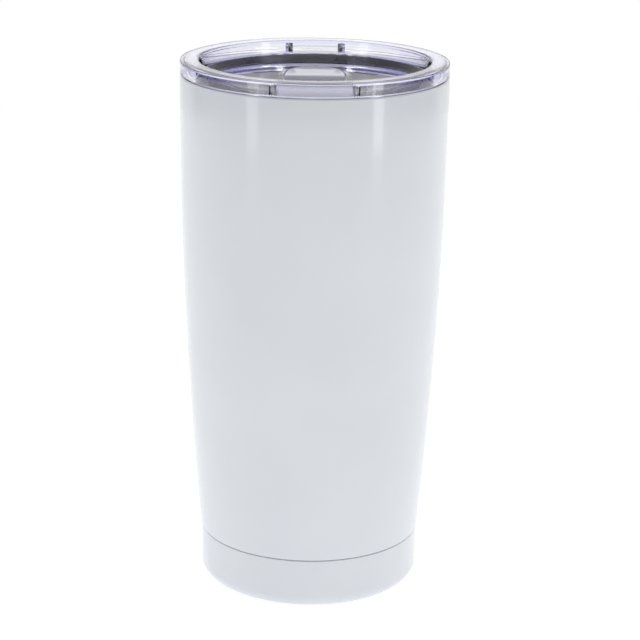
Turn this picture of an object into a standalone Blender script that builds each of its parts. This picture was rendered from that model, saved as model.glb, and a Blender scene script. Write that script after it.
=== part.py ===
"""Insulated tumbler with a clear press-in lid and a sliding closure.

A double-walled vacuum tumbler in painted steel. Its lid is a clear moulding that plugs the mouth on a
silicone ring, rests its rim on the steel lip and carries a closure that slides in a horseshoe guide.

Frame: metres, +Z up, origin at the centre of the foot on the table. The lid's lift tab is at -Y and the
drinking side is at +Y. The closure is shut at rest and opens towards -Y.
"""

import math

import bmesh
import bpy

MM = 0.001
SEGMENTS = 48  # sides of every turned piece
GAP = 0.3 * MM  # between pieces that touch on the real object

# Steel body
BODY_RADIUS = 43.6 * MM  # painted wall where it is straight, below the shoulder
SEAM_RADIUS = 36.9 * MM
SEAM_Z = 16.8 * MM  # weld line between the wall and the base cup
TAPER_Z = 165 * MM  # the wall runs straight above this height, and curves inwards below it
SHOULDER_Z = 171.3 * MM
SHOULDER_ROUND = 0.7 * MM
STEEL = 0.5 * MM  # sheet thickness of both walls
VACUUM_GAP = 4.15 * MM
LIP_Z = 171.6 * MM  # top of the bare lip
LIP_RADIUS = 42.4 * MM
LIP_ROUND = 1.2 * MM  # the mouth turns outwards to the lip on this radius
LEDGE_RADIUS = 40.5 * MM  # the wall reaches in to here, under the lip
LINER_FLOOR_Z = 10.6 * MM
LINER_CORNER = 7 * MM

# Base cup and what it hides
BASE_RADIUS = 36.65 * MM
BASE_ROUND = 4.4 * MM
FOOT_INNER_RADIUS = 28.5 * MM
RECESS_Z = 2.2 * MM
DIMPLE_RADIUS = 5 * MM
DIMPLE_RISE = 1.3 * MM
PUMP_HOLE_RADIUS = 1.5 * MM
COLLAR_HEIGHT = 4.2 * MM  # part of the base cup that is welded inside the wall
COVER_THICKNESS = 0.5 * MM
FOIL = 0.2 * MM
GETTER_RADIUS = 5 * MM
GETTER_THICKNESS = 1.6 * MM
CLIP_THICKNESS = 0.5 * MM
CLIP_WIDTH = 5 * MM
CLIP_FLANGE = 4 * MM

# Lid
LID_TOP_Z = 176.1 * MM
RIM_RADIUS = 43.5 * MM
RIM_WIDTH = 6 * MM  # width of the flat ring on top
RIM_ROUND = 0.5 * MM
RIM_PLATE = 1.0 * MM
SKIRT = 1.5 * MM
SKIRT_Z = LIP_Z + GAP
FLOOR_Z = 167.8 * MM  # top face of the lid's sunken floor
FLOOR_THICKNESS = 1.5 * MM
FLOOR_RADIUS = 35.6 * MM
PLUG_RADIUS = 37.9 * MM
PLUG_BOTTOM_Z = 158.5 * MM
PLUG_WALL = 2 * MM
GROOVE_LOW_Z = 160.4 * MM
GROOVE_HIGH_Z = 163.6 * MM
GROOVE_RADIUS = 36.7 * MM
TAB_SLIT_X = 13.6 * MM  # the lift tab is the part of the skirt between two slits
TAB_SLIT_WIDTH = 0.7 * MM
TAB_WEDGE_X = 12.1 * MM
TAB_WEDGE_RADIUS = 39.9 * MM
SPOUT_HALF_WIDTH = 7.75 * MM
SPOUT_RIB_WIDTH = 2.4 * MM
SPOUT_RIB_DEPTH = 1.6 * MM
SPOUT_SCOOP_DROP = 1.8 * MM
SPOUT_SCOOP_DEPTH = 0.5 * MM
SIP_HOLE_Y = 18 * MM
SIP_HOLE_HALF_WIDTH = 7.5 * MM
SIP_HOLE_RADIUS = 3.8 * MM
VENT_Y = -27 * MM
VENT_RADIUS = 1 * MM

# Sliding closure and its guide
GUIDE_HALF_WIDTH = 12.3 * MM
GUIDE_BACK_Y = 25 * MM
GUIDE_FRONT_Y = -13 * MM
GUIDE_HEIGHT = 1.9 * MM
GUIDE_LIP_HALF_WIDTH = 10.3 * MM  # clear width between the overhanging lips
GUIDE_SLOT_HALF_WIDTH = 11.3 * MM  # clear width below the lips
GUIDE_LIP = 0.7 * MM
GUIDE_ROUND = 1.5  # depth of the half ellipse at its back, as a share of its half width
SLIDER_FRONT_Y = 2.3 * MM
SLIDER_FLANGE = 0.8 * MM
SLIDER_HALF_WIDTH = 9.8 * MM
SLIDER_BACK_Y = 21 * MM
SLIDER_ROUND = 1.75
SLIDER_HEIGHT = 2.7 * MM  # of the raised body, above the lid's floor


# ---------------------------------------------------------------- scene and materials

def clear_scene():
    for obj in list(bpy.data.objects):
        bpy.data.objects.remove(obj)


def new_collection(name, hidden=False):
    collection = bpy.data.collections.new(name)
    bpy.context.scene.collection.children.link(collection)
    collection.hide_render = hidden
    return collection


def new_material(name, colour, roughness, metallic=0.0, transmission=0.0):
    material = bpy.data.materials.new(name)
    material.use_nodes = True
    shader = material.node_tree.nodes["Principled BSDF"]
    shader.inputs["Base Color"].default_value = (*colour, 1)
    shader.inputs["Roughness"].default_value = roughness
    shader.inputs["Metallic"].default_value = metallic
    shader.inputs["Transmission Weight"].default_value = transmission
    return material


# ---------------------------------------------------------------- shapes

def arc(centre_r, centre_z, radius, start, end, steps):
    """Points (r, z) on an arc, with angles in degrees from +r towards +z."""
    points = []
    for i in range(steps + 1):
        angle = math.radians(start + (end - start) * i / steps)
        points.append((centre_r + radius * math.cos(angle), centre_z + radius * math.sin(angle)))
    return points


def wall_radius(z):
    """Outer radius of the painted wall. It curves on one large arc, tangent to the straight top."""
    if z >= TAPER_Z:
        return BODY_RADIUS
    height = TAPER_Z - SEAM_Z
    drop = BODY_RADIUS - SEAM_RADIUS
    bend = (height ** 2 + drop ** 2) / (2 * drop)
    return BODY_RADIUS - bend + math.sqrt(bend ** 2 - (TAPER_Z - z) ** 2)


def wall_points(inset, high, low, steps=5):
    """Points (r, z) down the wall at a distance inside its outer face."""
    heights = [high + (low - high) * i / steps for i in range(steps + 1)]
    return [(wall_radius(z) - inset, z) for z in heights]


def turned(name, profile, material, closed=True):
    """A solid of revolution about Z. The profile runs down its outer side and back up its inner side."""
    mesh = bpy.data.meshes.new(name)
    points = [(r, 0, z) for r, z in profile]
    edges = [(i, i + 1) for i in range(len(points) - 1)]
    if closed:
        edges.append((len(points) - 1, 0))
    mesh.from_pydata(points, edges, [])
    obj = bpy.data.objects.new(name, mesh)
    parts.objects.link(obj)
    obj.data.materials.append(material)
    screw = obj.modifiers.new("Screw", "SCREW")
    screw.steps = SEGMENTS
    screw.render_steps = SEGMENTS
    screw.use_merge_vertices = True
    screw.merge_threshold = 0.00001
    screw.use_smooth_shade = True
    return obj


def flat_plate(name, outline, z_low, z_high, material, collection):
    """A plate with this outline of (x, y) points, made from a filled curve and returned as a mesh object."""
    curve = bpy.data.curves.new(name + "_outline", "CURVE")
    curve.dimensions = "2D"
    curve.fill_mode = "BOTH"
    curve.extrude = (z_high - z_low) / 2
    spline = curve.splines.new("POLY")
    spline.points.add(len(outline) - 1)
    for point, (x, y) in zip(spline.points, outline):
        point.co = (x, y, 0, 1)
    spline.use_cyclic_u = True
    drawn = bpy.data.objects.new(name + "_outline", curve)
    parts.objects.link(drawn)
    drawn.location.z = (z_low + z_high) / 2
    bpy.context.view_layer.update()
    graph = bpy.context.evaluated_depsgraph_get()
    mesh = bpy.data.meshes.new_from_object(drawn.evaluated_get(graph))
    weld(mesh)
    obj = bpy.data.objects.new(name, mesh)
    obj.matrix_world = drawn.matrix_world
    bpy.data.objects.remove(drawn)
    collection.objects.link(obj)
    obj.data.materials.clear()
    obj.data.materials.append(material)
    return obj


def weld(mesh):
    shape = bmesh.new()
    shape.from_mesh(mesh)
    bmesh.ops.remove_doubles(shape, verts=shape.verts, dist=0.000001)
    bmesh.ops.recalc_face_normals(shape, faces=shape.faces)
    shape.to_mesh(mesh)
    shape.free()


def cutter(obj):
    obj.hide_render = True
    obj.display_type = "WIRE"
    return obj


def box(name, low, high, collection):
    """A box between two corners."""
    shape = bmesh.new()
    bmesh.ops.create_cube(shape, size=1)
    size = [b - a for a, b in zip(low, high)]
    bmesh.ops.scale(shape, vec=size, verts=shape.verts)
    mesh = bpy.data.meshes.new(name)
    shape.to_mesh(mesh)
    shape.free()
    obj = bpy.data.objects.new(name, mesh)
    obj.location = [(a + b) / 2 for a, b in zip(low, high)]
    collection.objects.link(obj)
    return obj


def cylinder(name, radius, centre, z_low, z_high, collection, sides=12):
    """A round bar along Z."""
    shape = bmesh.new()
    bmesh.ops.create_cone(
        shape, cap_ends=True, segments=sides, radius1=radius, radius2=radius, depth=z_high - z_low
    )
    mesh = bpy.data.meshes.new(name)
    shape.to_mesh(mesh)
    shape.free()
    obj = bpy.data.objects.new(name, mesh)
    obj.location = (*centre, (z_low + z_high) / 2)
    collection.objects.link(obj)
    return obj


def combine(obj, other, operation):
    modifier = obj.modifiers.new(other.name, "BOOLEAN")
    modifier.operation = operation
    modifier.object = cutter(other)


def stadium(half_width, radius, centre_y, steps=8):
    """Outline of a slot along X with round ends."""
    straight = half_width - radius
    right = arc(straight, centre_y, radius, -90, 90, steps)
    left = arc(-straight, centre_y, radius, 90, 270, steps)
    return right + left


def horseshoe_edge(half_width, back_y, front_y, roundness, steps=16):
    """Outline that is straight at the front and ends in half an ellipse at the back."""
    depth = roundness * half_width
    points = [(half_width, front_y)]
    for i in range(steps + 1):
        angle = math.pi * i / steps
        points.append((half_width * math.cos(angle), back_y - depth + depth * math.sin(angle)))
    points.append((-half_width, front_y))
    return points


# ---------------------------------------------------------------- steel body

def outer_shell():
    """Painted wall. Its top turns in over a shoulder and steps down to a ledge under the liner's lip."""
    ledge_z = LIP_Z - STEEL - GAP
    step_r = LIP_RADIUS + GAP
    shoulder = arc(BODY_RADIUS - SHOULDER_ROUND, SHOULDER_Z - SHOULDER_ROUND, SHOULDER_ROUND, 90, 0, 4)
    outer = [(LEDGE_RADIUS, ledge_z), (step_r, ledge_z), (step_r, SHOULDER_Z), *shoulder]
    outer += wall_points(0, TAPER_Z, SEAM_Z + GAP)
    inner = wall_points(STEEL, SEAM_Z + GAP, TAPER_Z)
    inner += [(BODY_RADIUS - STEEL, ledge_z - STEEL), (LEDGE_RADIUS, ledge_z - STEEL)]
    return turned("outer_shell", outer + inner, white_coat)


def inner_liner():
    """Drawn cup that holds the drink. Its mouth turns outwards to a flat lip on the wall's ledge."""
    inset = 2 * STEEL + VACUUM_GAP
    mouth = BODY_RADIUS - inset
    corner_z = LINER_FLOOR_Z + LINER_CORNER
    corner_r = wall_radius(corner_z) - inset - LINER_CORNER
    turn_z = LIP_Z - LIP_ROUND
    outside = [(LIP_RADIUS, LIP_Z - STEEL)]
    outside += arc(mouth + LIP_ROUND, turn_z, LIP_ROUND - STEEL, 90, 180, 3)
    outside += wall_points(inset - STEEL, TAPER_Z, corner_z)
    outside += arc(corner_r, corner_z, LINER_CORNER + STEEL, 0, -90, 4)[1:]
    outside += [(0, LINER_FLOOR_Z - STEEL)]
    inside = [(0, LINER_FLOOR_Z)]
    inside += arc(corner_r, corner_z, LINER_CORNER, -90, 0, 4)[:-1]
    inside += wall_points(inset, corner_z, TAPER_Z)
    lip = arc(mouth + LIP_ROUND, turn_z, LIP_ROUND, 180, 90, 4)
    lip += [(LIP_RADIUS - STEEL / 4, LIP_Z), (LIP_RADIUS, LIP_Z - STEEL / 4)]
    return turned("inner_liner", inside + lip + outside, bare_steel, closed=False)


def foil_shield():
    """Foil wrapped round the liner inside the vacuum."""
    near = STEEL + VACUUM_GAP - GAP
    far = near - FOIL
    outer = wall_points(far, TAPER_Z - 8 * MM, SEAM_Z + 8 * MM)
    inner = wall_points(near, SEAM_Z + 8 * MM, TAPER_Z - 8 * MM)
    return turned("foil_shield", outer + inner, foil_metal)


def base_cup():
    """Pressed cup that closes the wall. Its collar stands inside the wall, and its middle is raised."""
    collar_r = SEAM_RADIUS - STEEL - GAP
    collar_top = SEAM_Z + COLLAR_HEIGHT
    foot_r = BASE_RADIUS - BASE_ROUND
    panel_z = RECESS_Z + STEEL
    dimple_z = RECESS_Z + DIMPLE_RISE
    outer = [(collar_r, collar_top), (collar_r, SEAM_Z), (BASE_RADIUS, SEAM_Z)]
    outer += arc(foot_r, BASE_ROUND, BASE_ROUND, 0, -90, 4)
    outer += [(FOOT_INNER_RADIUS, 0), (FOOT_INNER_RADIUS - STEEL, STEEL)]
    outer += [(FOOT_INNER_RADIUS - STEEL, RECESS_Z)]
    outer += [(DIMPLE_RADIUS + STEEL, RECESS_Z), (DIMPLE_RADIUS, dimple_z), (PUMP_HOLE_RADIUS, dimple_z)]
    inner = [(PUMP_HOLE_RADIUS, dimple_z + STEEL), (DIMPLE_RADIUS + STEEL, dimple_z + STEEL)]
    inner += [(DIMPLE_RADIUS + 2 * STEEL, panel_z), (FOOT_INNER_RADIUS, panel_z)]
    inner += [(FOOT_INNER_RADIUS + STEEL, STEEL)]
    inner += arc(foot_r, BASE_ROUND, BASE_ROUND - STEEL, -90, 0, 4)
    inner += [(BASE_RADIUS - STEEL, SEAM_Z - STEEL), (collar_r - STEEL, SEAM_Z - STEEL / 2)]
    inner += [(collar_r - STEEL, collar_top)]
    return turned("base_cup", outer + inner, white_coat)


def base_cover():
    """Round plate in the foot's recess, over the sealed pump-out hole."""
    radius = FOOT_INNER_RADIUS - STEEL - GAP
    top = RECESS_Z - GAP
    profile = [(0, top), (radius, top), (radius, top - COVER_THICKNESS), (0, top - COVER_THICKNESS)]
    return turned("base_cover", profile, bare_steel, closed=False)


def vacuum_plug():
    """Bead of glass solder, in the dimple, that seals the pump-out hole."""
    top = RECESS_Z + DIMPLE_RISE - GAP
    radius = DIMPLE_RADIUS - 2 * STEEL
    profile = [(0, top), (radius - STEEL, top), (radius, top - STEEL), (radius - STEEL, top - 2 * STEEL)]
    profile += [(0, top - 2 * STEEL)]
    return turned("vacuum_plug", profile, solder_glass, closed=False)


def getter():
    """Gas-absorbing pellet under the liner's floor, and the hat-shaped strap that holds it there."""
    ceiling = LINER_FLOOR_Z - STEEL - GAP
    pellet_low = ceiling - GETTER_THICKNESS
    profile = [(0, ceiling), (GETTER_RADIUS, ceiling), (GETTER_RADIUS, pellet_low), (0, pellet_low)]
    turned("getter_pellet", profile, getter_grey, closed=False)
    near_x = GETTER_RADIUS + GAP
    far_x = near_x + CLIP_THICKNESS
    end_x = far_x + CLIP_FLANGE
    upper = pellet_low - GAP
    lower = upper - CLIP_THICKNESS
    flange = ceiling - CLIP_THICKNESS
    right = [(far_x, lower), (far_x, flange), (end_x, flange)]
    right += [(end_x, ceiling), (near_x, ceiling), (near_x, upper)]
    left = [(-x, z) for x, z in reversed(right)]
    strap = flat_plate("getter_clip", right + left, -CLIP_WIDTH / 2, CLIP_WIDTH / 2, bare_steel, parts)
    strap.rotation_euler.x = math.radians(90)


# ---------------------------------------------------------------- lid

def lid_body():
    """Clear moulding: flat rim and skirt on the steel lip, plug wall, sunken floor and gasket groove."""
    rim_inner = RIM_RADIUS - RIM_WIDTH
    plate_z = LID_TOP_Z - RIM_PLATE
    plug_inner = PLUG_RADIUS - PLUG_WALL
    floor_low = FLOOR_Z - FLOOR_THICKNESS
    outer = arc(RIM_RADIUS - RIM_ROUND, LID_TOP_Z - RIM_ROUND, RIM_ROUND, 90, 0, 3)
    outer += [(RIM_RADIUS, SKIRT_Z), (RIM_RADIUS - SKIRT, SKIRT_Z), (RIM_RADIUS - SKIRT, plate_z)]
    outer += [(PLUG_RADIUS, plate_z), (PLUG_RADIUS, GROOVE_HIGH_Z), (GROOVE_RADIUS, GROOVE_HIGH_Z)]
    outer += [(GROOVE_RADIUS, GROOVE_LOW_Z), (PLUG_RADIUS, GROOVE_LOW_Z)]
    outer += [(PLUG_RADIUS - STEEL, PLUG_BOTTOM_Z), (plug_inner - STEEL, PLUG_BOTTOM_Z)]
    outer += [(plug_inner - STEEL, floor_low), (0, floor_low)]
    top = [(0, FLOOR_Z)]
    top += arc(FLOOR_RADIUS - RIM_ROUND, FLOOR_Z + RIM_ROUND, RIM_ROUND, -90, -15, 2)
    top += arc(rim_inner + RIM_ROUND, LID_TOP_Z - RIM_ROUND, RIM_ROUND, 165, 90, 2)
    lid = turned("lid_body", top + outer, clear_plastic, closed=False)
    add_guide(lid)
    add_tab_wedge(lid)
    for side in (-1, 1):
        add_tab_slit(lid, side)
        add_spout_rib(lid, side)
    add_spout_scoop(lid)
    below = FLOOR_Z - 2 * FLOOR_THICKNESS
    above = FLOOR_Z + FLOOR_THICKNESS
    slot = stadium(SIP_HOLE_HALF_WIDTH, SIP_HOLE_RADIUS, SIP_HOLE_Y)
    combine(lid, flat_plate("sip_hole_cutter", slot, below, above, clear_plastic, cutters), "DIFFERENCE")
    combine(lid, cylinder("vent_cutter", VENT_RADIUS, (0, VENT_Y), below, above, cutters), "DIFFERENCE")
    return lid


def side_name(side):
    return "left" if side < 0 else "right"


def add_tab_wedge(lid):
    """Wedge that backs the lift tab, from its foot up to the rim's underside."""
    plate_z = LID_TOP_Z - RIM_PLATE
    inner_r = RIM_RADIUS - SKIRT
    profile = [(inner_r + GAP, plate_z + GAP), (inner_r + GAP, SKIRT_Z + GAP), (inner_r, SKIRT_Z + GAP)]
    profile += [(TAB_WEDGE_RADIUS, plate_z), (TAB_WEDGE_RADIUS, plate_z + GAP)]
    wedge = turned("tab_wedge", profile, clear_plastic)
    front = box(
        "tab_wedge_front",
        (-TAB_WEDGE_X, -RIM_RADIUS - SKIRT, SKIRT_Z - SKIRT),
        (TAB_WEDGE_X, 0, LID_TOP_Z + SKIRT),
        cutters,
    )
    combine(wedge, front, "INTERSECT")
    cutters.objects.link(wedge)
    parts.objects.unlink(wedge)
    combine(lid, wedge, "UNION")


def add_tab_slit(lid, side):
    """One of the two slits that free the lift tab from the rest of the skirt."""
    x = side * TAB_SLIT_X
    half = TAB_SLIT_WIDTH / 2
    inner_y = -math.sqrt((RIM_RADIUS - 1.6 * SKIRT) ** 2 - TAB_SLIT_X ** 2)
    slit = box(
        f"tab_slit_cutter_{side_name(side)}",
        (x - half, -RIM_RADIUS - SKIRT, SKIRT_Z - SKIRT),
        (x + half, inner_y, LID_TOP_Z - RIM_PLATE + GAP),
        cutters,
    )
    combine(lid, slit, "DIFFERENCE")


def wall_face_y(x, z):
    """Y of the recess wall's inner face at the back, at this x and height."""
    share = (z - FLOOR_Z) / (LID_TOP_Z - FLOOR_Z)
    radius = FLOOR_RADIUS + (RIM_RADIUS - RIM_WIDTH - FLOOR_RADIUS) * share
    return math.sqrt(radius ** 2 - x ** 2)


def add_spout_rib(lid, side):
    """One of the two ribs beside the scoop. It is a V-shaped prism on the outer side of the plug wall."""
    middle = math.asin((SPOUT_HALF_WIDTH + SPOUT_RIB_WIDTH / 2) / PLUG_RADIUS)
    half = SPOUT_RIB_WIDTH / 2 / PLUG_RADIUS
    root_r = PLUG_RADIUS - STEEL
    corners = [(root_r, middle - half), (PLUG_RADIUS, middle - half), (PLUG_RADIUS + SPOUT_RIB_DEPTH, middle)]
    corners += [(PLUG_RADIUS, middle + half), (root_r, middle + half)]
    outline = [(side * r * math.sin(turn), r * math.cos(turn)) for r, turn in corners]
    high = LID_TOP_Z - RIM_PLATE / 2
    rib = flat_plate(f"spout_rib_{side_name(side)}", outline, SKIRT_Z, high, clear_plastic, cutters)
    combine(lid, rib, "UNION")


def add_spout_scoop(lid):
    """Shallow scoop in the rim's inner edge, where the drink runs over."""
    low_z = LID_TOP_Z - SPOUT_SCOOP_DROP
    face_y = wall_face_y(SPOUT_HALF_WIDTH, low_z)
    scoop = box(
        "spout_scoop_cutter",
        (-SPOUT_HALF_WIDTH, FLOOR_RADIUS / 2, low_z),
        (SPOUT_HALF_WIDTH, face_y + SPOUT_SCOOP_DEPTH, LID_TOP_Z + RIM_PLATE),
        cutters,
    )
    combine(lid, scoop, "DIFFERENCE")


def lid_gasket():
    """Silicone ring in the plug's groove, with two lips against the liner."""
    inner_r = GROOVE_RADIUS + GAP
    body_r = PLUG_RADIUS - GAP
    lip_r = BODY_RADIUS - 2 * STEEL - VACUUM_GAP - GAP
    low = GROOVE_LOW_Z + GAP
    high = GROOVE_HIGH_Z - GAP
    height = high - low
    profile = [(body_r, high), (lip_r, high - height / 6), (body_r, high - height / 3)]
    profile += [(body_r, low + height / 3), (lip_r, low + height / 6), (body_r, low)]
    profile += [(inner_r, low), (inner_r, high)]
    return turned("lid_gasket", profile, silicone)


def add_guide(lid):
    """Horseshoe on the lid's floor. Its lips hang over the closure's flange, and its ends are the stops."""
    high = FLOOR_Z + GUIDE_HEIGHT
    wall = GUIDE_HALF_WIDTH - GUIDE_SLOT_HALF_WIDTH
    lip = GUIDE_HALF_WIDTH - GUIDE_LIP_HALF_WIDTH
    outline = horseshoe_edge(GUIDE_HALF_WIDTH, GUIDE_BACK_Y, GUIDE_FRONT_Y, GUIDE_ROUND)
    block = flat_plate("guide_block", outline, FLOOR_Z - GAP, high, clear_plastic, cutters)
    combine(lid, block, "UNION")
    slot = horseshoe_edge(GUIDE_SLOT_HALF_WIDTH, GUIDE_BACK_Y - wall, GUIDE_FRONT_Y + wall, GUIDE_ROUND)
    slot_cutter = flat_plate("guide_slot_cutter", slot, FLOOR_Z, high - GUIDE_LIP, clear_plastic, cutters)
    combine(lid, slot_cutter, "DIFFERENCE")
    gap = horseshoe_edge(GUIDE_LIP_HALF_WIDTH, GUIDE_BACK_Y - lip, GUIDE_FRONT_Y - lip, GUIDE_ROUND)
    gap_cutter = flat_plate("guide_gap_cutter", gap, FLOOR_Z, high + lip, clear_plastic, cutters)
    combine(lid, gap_cutter, "DIFFERENCE")


def slider():
    """Closure: a thin flange that runs under the guide's lips, and a raised body to push it by."""
    low = FLOOR_Z + GAP
    back_y = GUIDE_BACK_Y - (GUIDE_HALF_WIDTH - GUIDE_SLOT_HALF_WIDTH) - GAP
    flange = horseshoe_edge(GUIDE_SLOT_HALF_WIDTH - GAP, back_y, SLIDER_FRONT_Y, GUIDE_ROUND)
    body = horseshoe_edge(SLIDER_HALF_WIDTH, SLIDER_BACK_Y, SLIDER_FRONT_Y - GAP, SLIDER_ROUND)
    closure = flat_plate("slider", flange, low, low + SLIDER_FLANGE, clear_plastic, parts)
    raised = flat_plate("slider_body", body, low + GAP, FLOOR_Z + SLIDER_HEIGHT, clear_plastic, cutters)
    combine(closure, raised, "UNION")


clear_scene()
parts = new_collection("insulated_tumbler")
cutters = new_collection("cutters", hidden=True)

white_coat = new_material("white_coat", (0.86, 0.87, 0.89), 0.25)
bare_steel = new_material("bare_steel", (0.62, 0.61, 0.60), 0.3, metallic=1.0)
foil_metal = new_material("foil_metal", (0.80, 0.50, 0.36), 0.35, metallic=1.0)
solder_glass = new_material("solder_glass", (0.12, 0.13, 0.13), 0.2)
getter_grey = new_material("getter_grey", (0.30, 0.30, 0.31), 0.7)
clear_plastic = new_material("clear_plastic", (0.90, 0.90, 0.97), 0.05, transmission=1.0)
silicone = new_material("silicone", (0.88, 0.88, 0.87), 0.5)

outer_shell()
inner_liner()
foil_shield()
base_cup()
base_cover()
vacuum_plug()
getter()
lid_body()
lid_gasket()
slider()
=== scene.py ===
"""Visual model of the insulated tumbler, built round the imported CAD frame.

Every visible surface is rebuilt finely at the CAD's own dimensions: the painted wall and base cup, the
polished liner with its rolled lip, the clear lid with its lift tab, ribs and closure guide, the sliding
closure and the silicone ring.
"""

import math

import bmesh
import bpy
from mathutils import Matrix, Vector


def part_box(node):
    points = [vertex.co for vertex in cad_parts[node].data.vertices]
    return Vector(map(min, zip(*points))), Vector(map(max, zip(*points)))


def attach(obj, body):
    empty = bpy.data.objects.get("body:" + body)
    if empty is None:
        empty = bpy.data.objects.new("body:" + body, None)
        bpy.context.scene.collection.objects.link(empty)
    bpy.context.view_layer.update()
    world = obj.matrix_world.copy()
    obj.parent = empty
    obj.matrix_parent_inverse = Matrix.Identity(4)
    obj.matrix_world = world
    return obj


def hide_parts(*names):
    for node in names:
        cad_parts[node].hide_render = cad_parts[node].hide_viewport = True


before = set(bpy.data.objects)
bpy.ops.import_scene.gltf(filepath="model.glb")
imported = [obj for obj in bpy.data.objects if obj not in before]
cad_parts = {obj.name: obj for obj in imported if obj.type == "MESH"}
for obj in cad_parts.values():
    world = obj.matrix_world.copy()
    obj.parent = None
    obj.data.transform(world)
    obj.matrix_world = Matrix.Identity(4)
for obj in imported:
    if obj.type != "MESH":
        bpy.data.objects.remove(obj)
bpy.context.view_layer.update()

MM = 0.001

# ---------------------------------------------------------------- dimensions

SEGMENTS = 288
GAP = 0.3 * MM

WALL_LOW, WALL_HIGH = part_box("outer_shell")
CUP_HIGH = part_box("base_cup")[1]
LINER_LOW, LINER_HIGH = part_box("inner_liner")
LID_LOW, LID_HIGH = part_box("lid_body")
GASKET_LOW, GASKET_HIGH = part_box("lid_gasket")
SLIDER_LOW, SLIDER_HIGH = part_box("slider")
COVER_LOW, COVER_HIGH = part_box("base_cover")

BODY_RADIUS = WALL_HIGH.x
SEAM_Z = WALL_LOW.z - GAP
SEAM_RADIUS = 36.9 * MM
TAPER_Z = 165 * MM
STEEL = 0.5 * MM
LIP_Z = LINER_HIGH.z
LIP_RADIUS = LINER_HIGH.x
MOUTH_RADIUS = 38.45 * MM
LIP_ROUND = 1.2 * MM
LEDGE_RADIUS = 40.5 * MM
LINER_FLOOR_Z = LINER_LOW.z + STEEL
LINER_CORNER = 7 * MM
BASE_RADIUS = CUP_HIGH.x
BASE_ROUND = 4.4 * MM
FOOT_INNER_RADIUS = 28.5 * MM
RECESS_Z = 2.2 * MM
DIMPLE_RADIUS = 5 * MM
DIMPLE_Z = 3.5 * MM
PUMP_HOLE_RADIUS = 1.5 * MM

TOP_Z = LID_HIGH.z
RIM_RADIUS = LID_HIGH.x
SHOULDER_Z = WALL_HIGH.z
SHOULDER_ROUND = 0.7 * MM
SKIRT_Z = LIP_Z + GAP
SKIRT = 1.5 * MM
PLATE_Z = TOP_Z - 1.0 * MM
FLOOR_Z = 167.8 * MM
FLOOR_LOW_Z = FLOOR_Z - 1.5 * MM
PLUG_RADIUS = 37.9 * MM
PLUG_INNER = 35.4 * MM
GROOVE_LOW_Z = GASKET_LOW.z - GAP
GROOVE_HIGH_Z = GASKET_HIGH.z + GAP
GROOVE_RADIUS = 36.7 * MM


# ---------------------------------------------------------------- materials

PLASTIC_IOR = 1.53
FROST_RADII = (39.7 * MM, 42.2 * MM)  # the frosted face lies between these, from the axis
FROST_BOX = ((-12.2 * MM, 12.2 * MM), (-45 * MM, -35 * MM), (171 * MM, 175.3 * MM))


class Nodes:
    """Short ways to add nodes to one material."""

    def __init__(self, name):
        self.material = bpy.data.materials.new(name)
        self.material.use_nodes = True
        self.tree = self.material.node_tree
        self.shader = self.tree.nodes["Principled BSDF"]
        self.output = self.tree.nodes["Material Output"]

    def add(self, kind, **values):
        node = self.tree.nodes.new(kind)
        for key, value in values.items():
            setattr(node, key, value)
        return node

    def link(self, source, target):
        self.tree.links.new(source, target)

    def set(self, **values):
        for key, value in values.items():
            self.shader.inputs[key.replace("_", " ")].default_value = value

    def position(self, scale=(1, 1, 1)):
        coordinates = self.add("ShaderNodeTexCoord")
        mapping = self.add("ShaderNodeMapping")
        mapping.inputs["Scale"].default_value = scale
        self.link(coordinates.outputs["Object"], mapping.inputs["Vector"])
        return mapping.outputs["Vector"]

    def noise(self, scale, detail=2.0, stretch=(1, 1, 1), roughness=0.5):
        node = self.add("ShaderNodeTexNoise")
        node.inputs["Scale"].default_value = scale
        node.inputs["Detail"].default_value = detail
        node.inputs["Roughness"].default_value = roughness
        self.link(self.position(stretch), node.inputs["Vector"])
        return node.outputs["Fac"]

    def spread(self, value, low, high, start=0.3, end=0.7):
        """Remaps a noise value between start and end to low and high."""
        node = self.add("ShaderNodeMapRange")
        node.inputs["From Min"].default_value = start
        node.inputs["From Max"].default_value = end
        node.inputs["To Min"].default_value = low
        node.inputs["To Max"].default_value = high
        self.link(value, node.inputs["Value"])
        return node.outputs["Result"]

    def within(self, value, low, high):
        """1 where the value lies between low and high, and 0 elsewhere."""
        node = self.add("ShaderNodeMath", operation="COMPARE")
        self.link(value, node.inputs[0])
        node.inputs[1].default_value = (low + high) / 2
        node.inputs[2].default_value = (high - low) / 2
        return node.outputs[0]

    def blend(self, value, first, second):
        node = self.add("ShaderNodeMix", data_type="RGBA")
        node.inputs[6].default_value = (*first, 1)
        node.inputs[7].default_value = (*second, 1)
        self.link(value, node.inputs[0])
        return node.outputs[2]

    def bump(self, value, distance, strength=1.0, under=None):
        node = self.add("ShaderNodeBump")
        node.inputs["Distance"].default_value = distance
        node.inputs["Strength"].default_value = strength
        self.link(value, node.inputs["Height"])
        if under is not None:
            self.link(under, node.inputs["Normal"])
        return node.outputs["Normal"]


def white_coat():
    """Glossy white coating with a faint orange peel and a few dust specks."""
    n = Nodes("white_coat")
    tone = n.spread(n.noise(28, detail=3), 0, 1)
    n.link(n.blend(tone, (0.695, 0.725, 0.767), (0.725, 0.752, 0.793)), n.shader.inputs["Base Color"])
    n.link(n.spread(n.noise(160, detail=4), 0.10, 0.17), n.shader.inputs["Roughness"])
    peel = n.bump(n.noise(620, detail=1.5), 0.000012)
    n.link(n.bump(n.noise(2600, detail=1), 0.000002, under=peel), n.shader.inputs["Normal"])
    n.set(IOR=1.5, Coat_Weight=0.25, Coat_Roughness=0.04)
    return n.material


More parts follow.
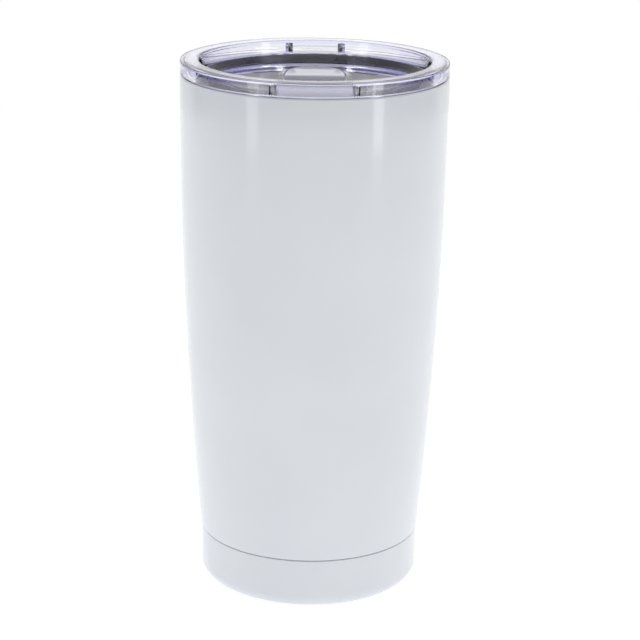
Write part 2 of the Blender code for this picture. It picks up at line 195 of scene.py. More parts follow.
def bare_steel(name, roughness, lines, depth, tint=(0.60, 0.60, 0.625), spread_up=0.0):
    """Turned steel. Fine lines run round the axis.

    spread_up is how far the lines draw highlights out along the axis.
    """
    n = Nodes(name)
    scratches = n.noise(1, detail=3, stretch=(26, 26, lines), roughness=0.65)
    darker = tuple(0.88 * part for part in tint)
    n.link(n.blend(n.spread(scratches, 0, 1), darker, tint), n.shader.inputs["Base Color"])
    n.link(n.spread(n.noise(70, detail=3), roughness * 0.75, roughness * 1.3), n.shader.inputs["Roughness"])
    n.link(n.bump(scratches, depth), n.shader.inputs["Normal"])
    n.set(Metallic=1.0, Anisotropic=spread_up, Anisotropic_Rotation=0.25)
    return n.material


def face_steel(name, roughness, tint):
    """Steel turned on its face. The lines are rings about the axis."""
    n = Nodes(name)
    rings = n.add("ShaderNodeTexWave", wave_type="RINGS", rings_direction="Z")
    rings.inputs["Scale"].default_value = 420
    rings.inputs["Distortion"].default_value = 1.5
    rings.inputs["Detail"].default_value = 3
    n.link(n.position(), rings.inputs["Vector"])
    darker = tuple(0.86 * part for part in tint)
    n.link(n.blend(rings.outputs["Fac"], darker, tint), n.shader.inputs["Base Color"])
    n.link(n.spread(n.noise(90, detail=3), roughness * 0.8, roughness * 1.25), n.shader.inputs["Roughness"])
    n.link(n.bump(rings.outputs["Fac"], 0.000003), n.shader.inputs["Normal"])
    n.set(Metallic=1.0)
    return n.material


def clear_plastic(name):
    """Clear moulded plastic, a little violet in its depth.

    The sloping back of the lift tab is finely frosted. The mask is by position, as one absorbing solid
    needs one material.
    """
    n = Nodes(name)
    r = n.add("ShaderNodeVectorMath", operation="LENGTH")
    n.link(n.position((1, 1, 0)), r.inputs[0])
    split = n.add("ShaderNodeSeparateXYZ")
    n.link(n.position(), split.inputs[0])
    x, y, z = split.outputs
    frost = n.within(r.outputs["Value"], *FROST_RADII)
    for value, (low, high) in zip((x, y, z), FROST_BOX):
        both = n.add("ShaderNodeMath", operation="MULTIPLY")
        n.link(frost, both.inputs[0])
        n.link(n.within(value, low, high), both.inputs[1])
        frost = both.outputs[0]
    n.link(n.spread(frost, 0.0, 0.34, 0, 1), n.shader.inputs["Roughness"])
    n.link(n.blend(frost, (1, 1, 1), (0.64, 0.64, 0.74)), n.shader.inputs["Base Color"])
    n.link(n.bump(n.noise(55, detail=2), 0.00004), n.shader.inputs["Normal"])
    n.set(IOR=PLASTIC_IOR, Transmission_Weight=1.0)
    depth = n.add("ShaderNodeVolumeAbsorption")
    depth.inputs["Color"].default_value = (0.36, 0.33, 0.93, 1)
    depth.inputs["Density"].default_value = 50
    n.link(depth.outputs["Volume"], n.output.inputs["Volume"])
    return n.material


def milky_plastic():
    """The clear plastic of the closure, which is slightly cloudy and has a satin skin."""
    n = Nodes("milky_plastic")
    cloud = n.noise(150, detail=2)
    n.link(n.blend(cloud, (0.80, 0.80, 0.91), (0.86, 0.86, 0.95)), n.shader.inputs["Base Color"])
    n.link(n.spread(n.noise(700, detail=2), 0.08, 0.16), n.shader.inputs["Roughness"])
    n.link(n.bump(n.noise(90, detail=2), 0.00003), n.shader.inputs["Normal"])
    n.set(IOR=PLASTIC_IOR, Transmission_Weight=0.12)
    return n.material


def silicone():
    """Pale silicone with a satin skin."""
    n = Nodes("silicone")
    mottle = n.noise(240, detail=3)
    n.link(n.blend(mottle, (0.80, 0.80, 0.79), (0.88, 0.88, 0.86)), n.shader.inputs["Base Color"])
    n.link(n.spread(n.noise(900, detail=2), 0.42, 0.58), n.shader.inputs["Roughness"])
    n.link(n.bump(n.noise(1800, detail=2), 0.00001), n.shader.inputs["Normal"])
    n.set(Subsurface_Weight=0.15, Subsurface_Radius=(0.002, 0.002, 0.002))
    return n.material


def grainy(name, first, second, roughness, metallic, scale, depth):
    """A matt or satin solid with grain of this scale, in features per metre."""
    n = Nodes(name)
    grain = n.noise(scale, detail=4)
    n.link(n.blend(n.spread(grain, 0, 1), first, second), n.shader.inputs["Base Color"])
    n.link(n.spread(n.noise(scale / 3), roughness * 0.8, roughness * 1.2), n.shader.inputs["Roughness"])
    n.link(n.bump(grain, depth), n.shader.inputs["Normal"])
    n.set(Metallic=metallic)
    return n.material


WHITE = white_coat()
NECK_STEEL = bare_steel("neck_steel", 0.12, 900, 0.0000015)
# The liner steel's darker tint is painted shade: it darkens the inside of the cup.
LINER_STEEL_PAINTED_SHADE = bare_steel("liner_steel_painted_shade", 0.28, 1500, 0.000001, (0.46, 0.455, 0.475), spread_up=1.0)
# The lip steel's near-white tint is a painted highlight: it stands in for the bright reflection on the
# rolled lip.
LIP_STEEL_PAINTED_HIGHLIGHT = bare_steel("lip_steel_painted_highlight", 0.10, 900, 0.000001, (0.88, 0.88, 0.89))
PLATE_STEEL = face_steel("plate_steel", 0.28, (0.58, 0.58, 0.59))
CLEAR = clear_plastic("clear_plastic")
MILKY = milky_plastic()
SILICONE = silicone()


# ---------------------------------------------------------------- shapes

def arc(centre_r, centre_z, radius, start, end, steps):
    """Points (r, z) on an arc, with angles in degrees from +r towards +z."""
    points = []
    for i in range(steps + 1):
        angle = math.radians(start + (end - start) * i / steps)
        points.append((centre_r + radius * math.cos(angle), centre_z + radius * math.sin(angle)))
    return points


def wall_radius(z):
    """Outer radius of the painted wall, which curves on one large arc below its straight top."""
    if z >= TAPER_Z:
        return BODY_RADIUS
    height = TAPER_Z - SEAM_Z
    drop = BODY_RADIUS - SEAM_RADIUS
    bend = (height ** 2 + drop ** 2) / (2 * drop)
    return BODY_RADIUS - bend + math.sqrt(bend ** 2 - (TAPER_Z - z) ** 2)


def wall_points(inset, high, low, steps=40):
    """Points down the wall from high to low, this far inside its outer face."""
    heights = [high + (low - high) * i / steps for i in range(steps + 1)]
    return [(wall_radius(z) - inset, z) for z in heights]


def rounded(points, radius, steps=4):
    """Rounds each inner corner of an open profile."""
    result = [points[0]]
    for i in range(1, len(points) - 1):
        a, b, c = (Vector(p) for p in points[i - 1:i + 2])
        size = min(radius, (a - b).length * 0.45, (c - b).length * 0.45)
        start = b + (a - b).normalized() * size
        end = b + (c - b).normalized() * size
        for k in range(steps + 1):
            t = k / steps
            result.append(tuple((1 - t) ** 2 * start + 2 * t * (1 - t) * b + t ** 2 * end))
    result.append(points[-1])
    return result


def surface(name, stations, closed_profile):
    """A solid made of profiles of (r, z) points at angles about Z.

    The angles are in degrees from -Y towards +X. Two stations at one angle make a flat step between
    their profiles, and all profiles have the same number of points.
    """
    shape = bmesh.new()
    rings = []
    for angle, profile in stations:
        turn = math.radians(angle)
        ring = [shape.verts.new((r * math.sin(turn), -r * math.cos(turn), z)) for r, z in profile]
        rings.append(ring)
    count = len(rings[0])
    spans = count if closed_profile else count - 1
    for i, ring in enumerate(rings):
        following = rings[(i + 1) % len(rings)]
        for j in range(spans):
            k = (j + 1) % count
            shape.faces.new((ring[j], ring[k], following[k], following[j]))
    bmesh.ops.remove_doubles(shape, verts=shape.verts, dist=1e-7)
    bmesh.ops.dissolve_degenerate(shape, edges=shape.edges, dist=1e-8)
    bmesh.ops.recalc_face_normals(shape, faces=shape.faces)
    return finished(name, shape)


def finished(name, shape, sharp=32):
    """Turns a bmesh into an object with smooth faces and edges sharper than this angle kept crisp."""
    mark_sharp(shape, sharp)
    mesh = bpy.data.meshes.new(name)
    shape.to_mesh(mesh)
    shape.free()
    obj = bpy.data.objects.new(name, mesh)
    bpy.context.scene.collection.objects.link(obj)
    return obj


def mark_sharp(shape, degrees):
    """Smooths every face and keeps the edges that turn by more than this crisp."""
    for face in shape.faces:
        face.smooth = True
    for edge in shape.edges:
        if len(edge.link_faces) == 2:
            edge.smooth = edge.calc_face_angle(math.pi) < math.radians(degrees)


def turned(name, profile, closed_profile=True):
    """One profile of (r, z) points turned about Z."""
    return surface(name, [(360 * i / SEGMENTS, profile) for i in range(SEGMENTS)], closed_profile)


def plate(name, outline, z_low, z_high, bevel=0.0):
    """A plate with this outline of (x, y) points and edges rounded by the bevel."""
    shape = bmesh.new()
    verts = [shape.verts.new((x, y, z_low)) for x, y in outline]
    face = shape.faces.new(verts)
    raised = bmesh.ops.extrude_face_region(shape, geom=[face])
    tops = [item for item in raised["geom"] if isinstance(item, bmesh.types.BMVert)]
    bmesh.ops.translate(shape, vec=(0, 0, z_high - z_low), verts=tops)
    bmesh.ops.recalc_face_normals(shape, faces=shape.faces)
    if bevel:
        rims = [e for e in shape.edges if e.calc_face_angle(0) > 0.5]
        bmesh.ops.bevel(shape, geom=rims, offset=bevel, segments=3, profile=0.5, affect="EDGES")
    return finished(name, shape)


def half_ellipse(half_width, back_y, front_y, roundness, steps=40):
    """Outline that is straight at the front and ends in half an ellipse at the back."""
    depth = roundness * half_width
    points = [(half_width, front_y)]
    for i in range(steps + 1):
        angle = math.pi * i / steps
        points.append((half_width * math.cos(angle), back_y - depth + depth * math.sin(angle)))
    points.append((-half_width, front_y))
    return points


def stadium(half_width, radius, centre_y, steps=14):
    """Outline of a slot along X with round ends."""
    straight = half_width - radius
    right = arc(straight, centre_y, radius, -90, 90, steps)
    left = arc(-straight, centre_y, radius, 90, 270, steps)
    return right + left


def carve(obj, tool, operation):
    """Applies one exact boolean to obj's mesh and removes the tool."""
    modifier = obj.modifiers.new("carve", "BOOLEAN")
    modifier.operation = operation
    modifier.solver = "EXACT"
    modifier.object = tool
    bpy.context.view_layer.update()
    graph = bpy.context.evaluated_depsgraph_get()
    mesh = bpy.data.meshes.new_from_object(obj.evaluated_get(graph))
    obj.modifiers.clear()
    mesh.name = obj.name
    obj.data = mesh
    bpy.data.objects.remove(tool)


def resharpen(obj, degrees=32):
    """Welds and shades obj's mesh afresh after booleans."""
    shape = bmesh.new()
    shape.from_mesh(obj.data)
    bmesh.ops.remove_doubles(shape, verts=shape.verts, dist=2e-7)
    mark_sharp(shape, degrees)
    shape.to_mesh(obj.data)
    shape.free()


def clad(obj, *materials):
    """Gives obj these materials as its slots, in this order."""
    obj.data.materials.clear()
    for material in materials:
        obj.data.materials.append(material)


def paint_faces(obj, slot_index, test):
    """Gives the faces whose centre passes the test another material slot."""
    for polygon in obj.data.polygons:
        if test(polygon.center):
            polygon.material_index = slot_index


def place(obj, body, node):
    """Puts obj on its body, in the place of this CAD node."""
    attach(obj, body)
    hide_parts(node)


# ---------------------------------------------------------------- steel body

def make_wall():
    """Painted wall. Its top turns in over a rounded shoulder to the bare ledge under the liner's lip."""
    ledge_z = LIP_Z - STEEL - GAP
    step_r = LIP_RADIUS + GAP
    seam_r = wall_radius(SEAM_Z)
    edge_round = 0.35 * MM
    chamfer = 0.08 * MM
    outer = [(LEDGE_RADIUS, ledge_z), (step_r, ledge_z)]
    outer += [(step_r, SHOULDER_Z - chamfer), (step_r + chamfer, SHOULDER_Z)]
    outer += arc(BODY_RADIUS - SHOULDER_ROUND, SHOULDER_Z - SHOULDER_ROUND, SHOULDER_ROUND, 90, 0, 8)
    outer += wall_points(0, TAPER_Z, SEAM_Z + GAP + edge_round, 64)
    outer += arc(seam_r - edge_round, SEAM_Z + GAP + edge_round, edge_round, -15, -90, 4)
    inner = wall_points(STEEL, SEAM_Z + GAP, TAPER_Z)
    inner += [(BODY_RADIUS - STEEL, ledge_z - STEEL), (LEDGE_RADIUS, ledge_z - STEEL)]
    wall = turned("wall", outer + inner)
    clad(wall, WHITE, NECK_STEEL)
    paint_faces(wall, 1, lambda c: c.z > ledge_z - STEEL and math.hypot(c.x, c.y) < step_r)
    place(wall, "tumbler", "outer_shell")


def make_base_cup():
    """Base cup with a soft foot, a collar behind the seam and a recessed middle with a pump-out hole."""
    collar_r = SEAM_RADIUS - STEEL - GAP
    foot_r = BASE_RADIUS - BASE_ROUND
    panel_z = RECESS_Z + STEEL
    edge_round = 0.3 * MM
    foot_round = 0.5 * MM
    outer = [(collar_r, CUP_HIGH.z), (collar_r, SEAM_Z)]
    outer += arc(BASE_RADIUS - edge_round, SEAM_Z - edge_round, edge_round, 90, 0, 5)
    outer += [(BASE_RADIUS, z * MM) for z in (14, 11, 8)]
    outer += arc(foot_r, BASE_ROUND, BASE_ROUND, 0, -90, 16)
    outer += arc(FOOT_INNER_RADIUS + foot_round, foot_round, foot_round, -90, -180, 5)
    outer += [(FOOT_INNER_RADIUS - 0.05 * MM, RECESS_Z - 0.3 * MM), (FOOT_INNER_RADIUS - 0.4 * MM, RECESS_Z)]
    outer += [(DIMPLE_RADIUS + STEEL, RECESS_Z), (DIMPLE_RADIUS, DIMPLE_Z), (PUMP_HOLE_RADIUS, DIMPLE_Z)]
    inner = [(PUMP_HOLE_RADIUS, DIMPLE_Z + STEEL), (DIMPLE_RADIUS + STEEL, DIMPLE_Z + STEEL)]
    inner += [(DIMPLE_RADIUS + 2 * STEEL, panel_z), (FOOT_INNER_RADIUS, panel_z)]
    inner += [(FOOT_INNER_RADIUS + STEEL, STEEL)]
    inner += arc(foot_r, BASE_ROUND, BASE_ROUND - STEEL, -90, 0, 8)
    inner += [(BASE_RADIUS - STEEL, SEAM_Z - STEEL), (collar_r - STEEL, SEAM_Z - STEEL / 2)]
    inner += [(collar_r - STEEL, CUP_HIGH.z)]
    cup = turned("base_cup_shell", outer + inner)
    clad(cup, WHITE)
    place(cup, "tumbler", "base_cup")


def make_cover():
    """Steel plate in the foot, with a rounded rim and two pressed rings."""
    r = COVER_HIGH.x
    low, high = COVER_LOW.z, COVER_HIGH.z
    ring_half, ring_rise = 0.6 * MM, 0.12 * MM
    under = [(0, low)]
    for middle in (9.6 * MM, 21.6 * MM):
        under += [(middle - ring_half, low), (middle, low + ring_rise), (middle + ring_half, low)]
    under += [(r - 0.2 * MM, low), (r, low + 0.2 * MM)]
    profile = [(0, high), (r - 0.1 * MM, high), (r, high - 0.1 * MM)] + under[::-1]
    cover = turned("foot_plate", profile, closed_profile=False)
    clad(cover, PLATE_STEEL)
    place(cover, "tumbler", "base_cover")


def make_liner():
    """Polished inner cup, tinted darker inside as painted shade. Its mouth rolls outwards to the bare lip.
    """
    inset = BODY_RADIUS - MOUTH_RADIUS
    corner_z = LINER_FLOOR_Z + LINER_CORNER
    corner_r = wall_radius(corner_z) - inset - LINER_CORNER
    inside = [(0, LINER_FLOOR_Z), (8 * MM, LINER_FLOOR_Z)]
    inside += arc(corner_r, corner_z, LINER_CORNER, -90, 0, 10)[:-1]
    inside += wall_points(inset, corner_z, TAPER_Z, 40)
    turn_z = LIP_Z - LIP_ROUND
    mouth = arc(MOUTH_RADIUS + LIP_ROUND, turn_z, LIP_ROUND, 180, 90, 10)
    mouth += arc(LIP_RADIUS - STEEL / 2, LIP_Z - STEEL / 2, STEEL / 2, 90, -90, 6)
    outside = arc(MOUTH_RADIUS + LIP_ROUND, turn_z, LIP_ROUND - STEEL, 90, 180, 6)
    outside += wall_points(inset - STEEL, TAPER_Z, corner_z, 30)
    outside += arc(corner_r, corner_z, LINER_CORNER + STEEL, 0, -90, 6)[1:]
    outside += [(0, LINER_FLOOR_Z - STEEL)]
    liner = turned("liner", inside + mouth + outside, closed_profile=False)
    # The rolled lip wears the near-white lip steel, a painted highlight.
    clad(liner, LINER_STEEL_PAINTED_SHADE, LIP_STEEL_PAINTED_HIGHLIGHT)
    paint_faces(liner, 1, lambda c: c.z > turn_z)
    place(liner, "tumbler", "inner_liner")


# ---------------------------------------------------------------- lid

SLIT_EDGES = (17.75, 18.67)  # degrees either side of the front, between which each slit lies
WEDGE_EDGE = 16.15  # degrees either side of the front that the lift tab's sloping back reaches
WEDGE_RADIUS = 39.9 * MM
RIB_EDGES = (11.7, 15.5)  # degrees either side of the back, between which each rib lies
RIDGE_DEPTH = 1.6 * MM
STEP_Z = 171.5 * MM  # small step round the recess, below its straight wall
TOP_ROUND = 0.3 * MM
FLAT_RADIUS = 39.4 * MM  # a point on the flat ring, which keeps its shading flat
DISH_START = 25.6 * MM
DISH_END = 34.9 * MM
DISH_MIDDLE_RISE = 0.43 * MM
DISH_RISE = 1.33 * MM  # at the end of the dish
RECESS_LOW_R = 36.98 * MM
RECESS_HIGH_R = 37.45 * MM
SCOOP_FLOOR = (37.17 * MM, TOP_Z - 2.1 * MM)
SCOOP_SHELF = (37.6 * MM, TOP_Z - 1.8 * MM)
SCOOP_HIGH_R = 37.68 * MM
GUIDE_HALF_WIDTH = 12.3 * MM
GUIDE_BACK_Y = 25 * MM
GUIDE_FRONT_Y = -13 * MM
GUIDE_HEIGHT = 1.9 * MM
GUIDE_LIP = 0.7 * MM
GUIDE_SLOT_INSET = 1 * MM
GUIDE_MOUTH_INSET = 2 * MM
GUIDE_ROUND = 1.5  # depth of the half ellipse at the back, as a share of its half width
SIP_HOLE_Y = 18 * MM
SIP_HOLE_HALF_WIDTH = 7.5 * MM
SIP_HOLE_RADIUS = 3.8 * MM
VENT_Y = -27 * MM
VENT_RADIUS = 1 * MM
FLANGE_OUTLINE = (11.0 * MM, 23.7 * MM)  # half width, and y of its back
FLANGE = 0.8 * MM
CLOSURE_OUTLINE = (9.8 * MM, 21 * MM)
CLOSURE_ROUND = 1.75


def floor_dish():
    """Top of the lid's floor, which is level in the middle and climbs more and more steeply to the wall."""
    points = [(12 * MM, FLOOR_Z), (18.8 * MM, FLOOR_Z + 0.19 * MM)]
    climb = DISH_RISE - DISH_MIDDLE_RISE
    steps = 14
    for i in range(steps + 1):
        t = i / steps
        rise = DISH_MIDDLE_RISE + climb * (t + 2 * t ** 2) / 3
        points.append((DISH_START + (DISH_END - DISH_START) * t, FLOOR_Z + rise))
    corner_z = FLOOR_Z + DISH_RISE
    return points + [(35.5 * MM, corner_z + 0.35 * MM), (35.7 * MM, corner_z + 0.8 * MM)]


def lid_profile(kind):
    """Profile of the lid, from the middle of its floor, over the rim and down to the floor's underside.

    Every kind has the same number of points, so some points repeat.
    """
    top = [(0, FLOOR_Z)] + floor_dish()
    top += [(36.35 * MM, STEP_Z - 0.25 * MM), (36.5 * MM, STEP_Z), (36.9 * MM, STEP_Z + 0.12 * MM)]
    face_low = (RECESS_LOW_R, STEP_Z + 0.45 * MM)
    face_high = (RECESS_HIGH_R, TOP_Z - TOP_ROUND)
    if kind == "panel":
        top += [face_low, SCOOP_FLOOR, SCOOP_SHELF, (SCOOP_HIGH_R, TOP_Z - TOP_ROUND)]
    else:
        top += [face_low, face_low, face_high, face_high]
    top += arc(RECESS_HIGH_R + TOP_ROUND, TOP_Z - TOP_ROUND, TOP_ROUND, 180, 90, 6)
    top += [(FLAT_RADIUS, TOP_Z)]
    outer = arc(RIM_RADIUS - TOP_ROUND, TOP_Z - TOP_ROUND, TOP_ROUND, 90, 0, 6)
    outer += [(RIM_RADIUS, PLATE_Z)]
    inner_r = RIM_RADIUS - SKIRT
    outer_round, inner_round = 0.25 * MM, 0.15 * MM
    skirt = arc(RIM_RADIUS - outer_round, SKIRT_Z + outer_round, outer_round, 0, -90, 4)
    skirt += arc(inner_r + inner_round, SKIRT_Z + inner_round, inner_round, -90, -180, 3)
    roof = (WEDGE_RADIUS if kind == "wedge" else inner_r, PLATE_Z)
    if kind == "slit":
        skirt = [(RIM_RADIUS, PLATE_Z)] * 5 + [roof] * 4
    outer += skirt + [roof]
    plug_r = PLUG_RADIUS + (RIDGE_DEPTH if kind == "ridge" else 0)
    plug = [(plug_r, PLATE_Z), (plug_r, SKIRT_Z), (PLUG_RADIUS, SKIRT_Z), (PLUG_RADIUS, GROOVE_HIGH_Z)]
    plug += [(GROOVE_RADIUS, GROOVE_HIGH_Z), (GROOVE_RADIUS, GROOVE_LOW_Z), (PLUG_RADIUS, GROOVE_LOW_Z)]
    plug += [(PLUG_RADIUS - 0.5 * MM, LID_LOW.z), (PLUG_INNER, LID_LOW.z), (PLUG_INNER, FLOOR_LOW_Z)]
    plug += [(0, FLOOR_LOW_Z)]
    return top + outer + plug


def lid_stations():
    """Angles and profiles round the lid, with two stations wherever a slit, wedge or panel ends."""
    ridge = sum(RIB_EDGES) / 2
    spans = [
        (0, WEDGE_EDGE, "wedge"),
        (WEDGE_EDGE, SLIT_EDGES[0], "plain"),
        (*SLIT_EDGES, "slit"),
        (SLIT_EDGES[1], 180 - RIB_EDGES[1], "plain"),
        (180 - RIB_EDGES[0], 180, "panel"),
    ]
    profiles = {kind: lid_profile(kind) for kind in ("plain", "wedge", "slit", "ridge", "panel")}
    stations = []
    for start, end, kind in spans:
        if kind == "panel":
            stations += [(180 - ridge, profiles["ridge"]), (start, profiles["plain"])]
        steps = max(1, math.ceil((end - start) / (360 / SEGMENTS)))
        for i in range(steps + 1):
            stations.append((start + (end - start) * i / steps, profiles[kind]))
    return stations + [(360 - angle, profile) for angle, profile in reversed(stations)]


def guide_outline(inset, front_y):
    """Outline of the guide, this far inside its outer face, with its open end at front_y."""
    return half_ellipse(GUIDE_HALF_WIDTH - inset, GUIDE_BACK_Y - inset, front_y, GUIDE_ROUND)


def add_guide(lid):
    """Adds the horseshoe guide to the lid's floor, with lips that overhang the closure's flange."""
    high = FLOOR_Z + GUIDE_HEIGHT
    block = plate("guide", guide_outline(0, GUIDE_FRONT_Y), FLOOR_Z - 0.5 * MM, high, 0.3 * MM)
    carve(lid, block, "UNION")
    slot_outline = guide_outline(GUIDE_SLOT_INSET, GUIDE_FRONT_Y + GUIDE_SLOT_INSET)
    slot = plate("slot", slot_outline, FLOOR_Z, high - GUIDE_LIP)
    carve(lid, slot, "DIFFERENCE")
    mouth = plate("mouth", guide_outline(GUIDE_MOUTH_INSET, GUIDE_FRONT_Y - 2 * MM), FLOOR_Z, high + 2 * MM)
    carve(lid, mouth, "DIFFERENCE")


def make_lid():
    """Clear lid: flat rim, skirt with a lift tab, plug wall, sunken floor and the closure's guide."""
    lid = surface("lid", lid_stations(), closed_profile=False)
    add_guide(lid)
    sip_hole = stadium(SIP_HOLE_HALF_WIDTH, SIP_HOLE_RADIUS, SIP_HOLE_Y)
    vent = arc(0, VENT_Y, VENT_RADIUS, 0, 345, 23)
    for name, outline in (("hole", sip_hole), ("vent", vent)):
        carve(lid, plate(name, outline, FLOOR_LOW_Z - MM, FLOOR_Z + MM), "DIFFERENCE")
    resharpen(lid)
    clad(lid, CLEAR)
    place(lid, "lid", "lid_body")


def make_closure():
    """Sliding closure: a flange under the guide's lips and a raised body to push it by."""
    low = SLIDER_LOW.z
    flange_outline = half_ellipse(*FLANGE_OUTLINE, SLIDER_LOW.y + GAP, GUIDE_ROUND)
    closure = plate("closure", flange_outline, low, low + FLANGE, 0.12 * MM)
    body_outline = half_ellipse(*CLOSURE_OUTLINE, SLIDER_LOW.y, CLOSURE_ROUND)
    body = plate("closure_body", body_outline, low + 0.3 * MM, SLIDER_HIGH.z, 0.35 * MM)
    carve(closure, body, "UNION")
    resharpen(closure)
    clad(closure, MILKY)
    place(closure, "closure", "slider")


def make_gasket():
    """Silicone ring with two soft lips."""
    inner_r = GROOVE_RADIUS + GAP
    body_r = PLUG_RADIUS - GAP
    lip_r = GASKET_HIGH.x
    low, high = GASKET_LOW.z, GASKET_HIGH.z
    span = high - low
    profile = [(inner_r, high), (body_r, high), (lip_r, high - span * 0.17), (body_r, high - span * 0.36)]
    profile += [(body_r, low + span * 0.36), (lip_r, low + span * 0.17), (body_r, low), (inner_r, low)]
    ring = turned("seal_lips", rounded(profile, 0.12 * MM, steps=3))
    clad(ring, SILICONE)
    place(ring, "seal_ring", "lid_gasket")


def dress_hidden_nodes():
    """Finishes for the CAD pieces inside the walls, which stay as they are."""
    foil = grainy("foil_wrap", (0.72, 0.44, 0.31), (0.84, 0.55, 0.41), 0.3, 1.0, 400, 0.00004)
    glass = grainy("solder_bead", (0.05, 0.06, 0.06), (0.10, 0.11, 0.11), 0.2, 0.0, 700, 0.00002)
    pellet = grainy("pellet_grain", (0.16, 0.16, 0.17), (0.30, 0.30, 0.31), 0.8, 0.3, 3000, 0.00004)
    finishes = {
        "foil_shield": foil,
        "vacuum_plug": glass,
        "getter_pellet": pellet,
        "getter_clip": PLATE_STEEL,
    }
    for name, material in finishes.items():
        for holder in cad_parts[name].material_slots:
            holder.material = material


# ---------------------------------------------------------------- studio

def make_floor():
    """Round pale table that ends well behind the object, where the white backdrop takes over."""
    shape = bmesh.new()
    bmesh.ops.create_circle(shape, cap_ends=True, segments=128, radius=0.82)
    floor = finished("floor", shape)
    n = Nodes("floor_paper")
    mottle = n.noise(40, detail=3)
    n.link(n.blend(mottle, (0.86, 0.865, 0.875), (0.88, 0.885, 0.89)), n.shader.inputs["Base Color"])
    n.set(Roughness=0.9, Emission_Color=(1, 1, 1, 1), Emission_Strength=0.42)
    clad(floor, n.material)


# Colours of the studio by direction, from 0 towards the front to 1 towards the back.
UPPER_SKY = [(0.0, 0.62), (0.35, 0.66), (0.6, 0.95), (1.0, 1.0)]
LOWER_SKY = [(0.0, 0.16), (0.36, 0.17), (0.42, 0.12), (0.64, 0.14), (0.74, 0.8), (1.0, 1.0)]
# Share of the upper sky's light by height, from 0 straight down to 1 straight up.
OVERHEAD = [(0.0, 1.0), (0.55, 1.0), (0.75, 0.95), (1.0, 0.85)]
# What light that has passed the plastic meets: few surfaces, many surfaces, and below the horizon.
VIOLET = (0.05, 0.04, 0.66)
SIDE_SKY = [(0.52, (0.58, 0.58, 0.82)), (0.72, (0.60, 0.60, 0.85)), (0.86, (0.62, 0.62, 0.84))]
CLEAR_SKY = [(0.0, 0.5), (0.40, 0.55), *SIDE_SKY, (0.94, 1.0)]
GELS = [(0.0, 0.30), (0.44, 0.30), (0.50, VIOLET), (0.78, VIOLET), (0.84, 0.28), (0.95, 0.22), (1.0, 0.32)]
LOWER_GELS = [(0.0, 0.16), (0.36, 0.17), (0.42, VIOLET), (0.66, VIOLET), (0.74, 0.8), (1.0, 1.0)]
# Tall windows, which are met after just this many surfaces of plastic.
WINDOWS = [(0.0, 0.0), (0.188, 0.0), (0.196, 1.0), (0.250, 1.0), (0.258, 0.0), (1.0, 0.0)]
WINDOW_LIGHT = 4.0
WINDOW_DEPTH = 4.0
GEL_DEPTH = 5.5  # more surfaces than this are many


class WorldNodes:
    """Short ways to add nodes to the world."""

    def __init__(self, name):
        world = bpy.data.worlds.new(name)
        bpy.context.scene.world = world
        world.use_nodes = True
        self.tree = world.node_tree
        self.tree.nodes.clear()

    def add(self, kind, **values):
        node = self.tree.nodes.new(kind)
        for key, value in values.items():
            setattr(node, key, value)
        return node

    def feed(self, socket, value):
        """Gives a socket a number, a colour or another node's output."""
        if isinstance(value, (int, float, tuple)):
            socket.default_value = value
        else:
            self.tree.links.new(value, socket)

    def math(self, operation, *values):
        node = self.add("ShaderNodeMath", operation=operation)
        for socket, value in zip(node.inputs, values):
            self.feed(socket, value)
        return node.outputs[0]

    def ramp(self, value, stops):
        node = self.add("ShaderNodeValToRGB")
        node.color_ramp.interpolation = "EASE"
        while len(node.color_ramp.elements) < len(stops):
            node.color_ramp.elements.new(0.5)
        for element, (position, colour) in zip(node.color_ramp.elements, stops):
            element.position = position
            element.color = (*colour, 1) if isinstance(colour, tuple) else (colour, colour, colour, 1)
        self.feed(node.inputs["Fac"], value)
        return node.outputs["Color"]

    def mix(self, share, first, second, blend_type="MIX"):
        node = self.add("ShaderNodeMix", data_type="RGBA", blend_type=blend_type)
        for socket, value in ((node.inputs[0], share), (node.inputs[6], first), (node.inputs[7], second)):
            self.feed(socket, value)
        return node.outputs[2]


def room_light(w, turn, z):
    """White studio that is grey towards the front and below the table's edge."""
    overhead = w.ramp(w.math("MULTIPLY_ADD", z, 0.5, 0.5), OVERHEAD)
    upper = w.mix(1, w.ramp(turn, UPPER_SKY), overhead, blend_type="MULTIPLY")
    height = w.math("MAXIMUM", 0.0, w.math("MULTIPLY_ADD", z, 14, 0.9))
    above = w.math("SMOOTH_MIN", 1.0, height, 0.1)
    return w.mix(above, w.ramp(turn, LOWER_SKY), upper)


def plastic_light(w, turn, z, depth):
    """Light on rays that have passed the clear plastic: violet gels at the sides and two tall windows."""
    windows = w.math("MULTIPLY", w.ramp(turn, WINDOWS), w.math("GREATER_THAN", z, 0.03))
    windows = w.math("MULTIPLY", windows, w.math("COMPARE", depth, WINDOW_DEPTH, 0.5))
    window_colour = (WINDOW_LIGHT, WINDOW_LIGHT, WINDOW_LIGHT, 1)
    shallow = w.mix(windows, w.ramp(turn, CLEAR_SKY), window_colour)
    upper = w.mix(w.math("GREATER_THAN", depth, GEL_DEPTH), shallow, w.ramp(turn, GELS))
    return w.mix(w.math("GREATER_THAN", z, -0.02), w.ramp(turn, LOWER_GELS), upper)


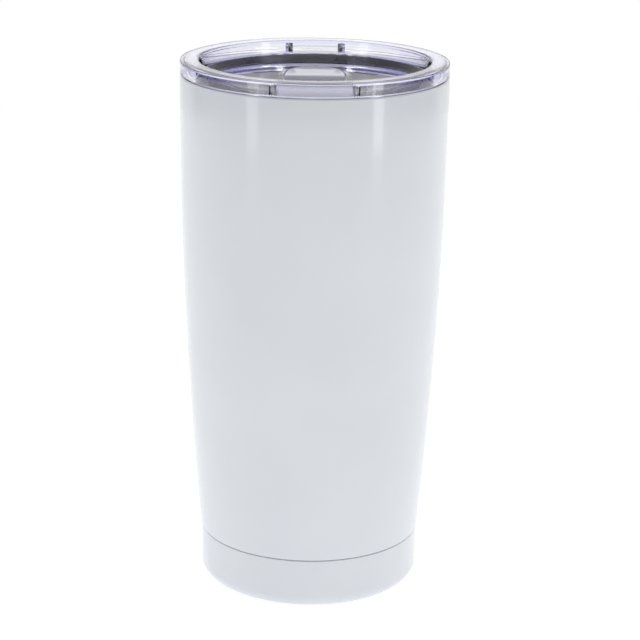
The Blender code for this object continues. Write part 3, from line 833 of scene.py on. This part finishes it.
def make_world():
    """Studio that lights the object by direction. The camera itself sees plain white."""
    w = WorldNodes("studio")
    split = w.add("ShaderNodeSeparateXYZ")
    w.feed(split.inputs[0], w.add("ShaderNodeTexCoord").outputs["Generated"])
    x, y, z = split.outputs
    azimuth = w.math("ARCTAN2", w.math("ABSOLUTE", x), w.math("MULTIPLY", y, -1))
    turn = w.math("DIVIDE", azimuth, math.pi)
    path = w.add("ShaderNodeLightPath")
    through = plastic_light(w, turn, z, path.outputs["Transmission Depth"])
    sky = w.mix(path.outputs["Is Transmission Ray"], room_light(w, turn, z), through)
    background = w.add("ShaderNodeBackground")
    w.feed(background.inputs["Color"], w.mix(path.outputs["Is Camera Ray"], sky, (1, 1, 1, 1)))
    w.feed(w.add("ShaderNodeOutputWorld").inputs[0], background.outputs[0])


STRIP_HEIGHT = 0.5
STRIP_DISTANCE = 0.62
STRIP_FOOT_Z = 0.02


def make_strip(name, azimuth, strength, width):
    """Tall softbox beside the camera. azimuth is in degrees from -Y towards +X."""
    light = bpy.data.lights.new(name, "AREA")
    light.shape = "RECTANGLE"
    light.size = width
    light.size_y = STRIP_HEIGHT
    light.energy = strength
    strip = bpy.data.objects.new(name, light)
    turn = math.radians(azimuth)
    middle_z = STRIP_FOOT_Z + STRIP_HEIGHT / 2
    strip.location = (STRIP_DISTANCE * math.sin(turn), -STRIP_DISTANCE * math.cos(turn), middle_z)
    aim = Vector((0, 0, middle_z)) - strip.location
    strip.rotation_euler = aim.to_track_quat("-Z", "Y").to_euler()
    strip.visible_camera = False
    bpy.context.scene.collection.objects.link(strip)


CAMERA_PLACE = Vector((0, -0.685, 0.2954))
CAMERA_AIM = Vector((0.0028, 0, 0.0884))
CAMERA_LENS = 120.5
CAMERA_ROLL = math.radians(0.8331)


def make_camera():
    """Camera in front of the lift tab, a little above the lid, looking down at the middle of the body."""
    data = bpy.data.cameras.new("camera")
    data.lens = CAMERA_LENS
    data.sensor_width = 36
    data.clip_start = 0.01
    camera = bpy.data.objects.new("camera", data)
    bpy.context.scene.collection.objects.link(camera)
    camera.location = CAMERA_PLACE
    aim = CAMERA_AIM - camera.location
    camera.rotation_euler = aim.to_track_quat("-Z", "Y").to_euler()
    camera.rotation_euler.rotate_axis("Z", CAMERA_ROLL)
    bpy.context.scene.camera = camera


make_camera()
make_wall()
make_base_cup()
make_cover()
make_liner()
make_lid()
make_closure()
make_gasket()
dress_hidden_nodes()
make_floor()
make_world()
make_strip("strip_right", azimuth=53.5, strength=0.435, width=0.10)
make_strip("strip_left", azimuth=-51.5, strength=0.32, width=0.11)
bpy.context.scene.view_settings.view_transform = "Standard"
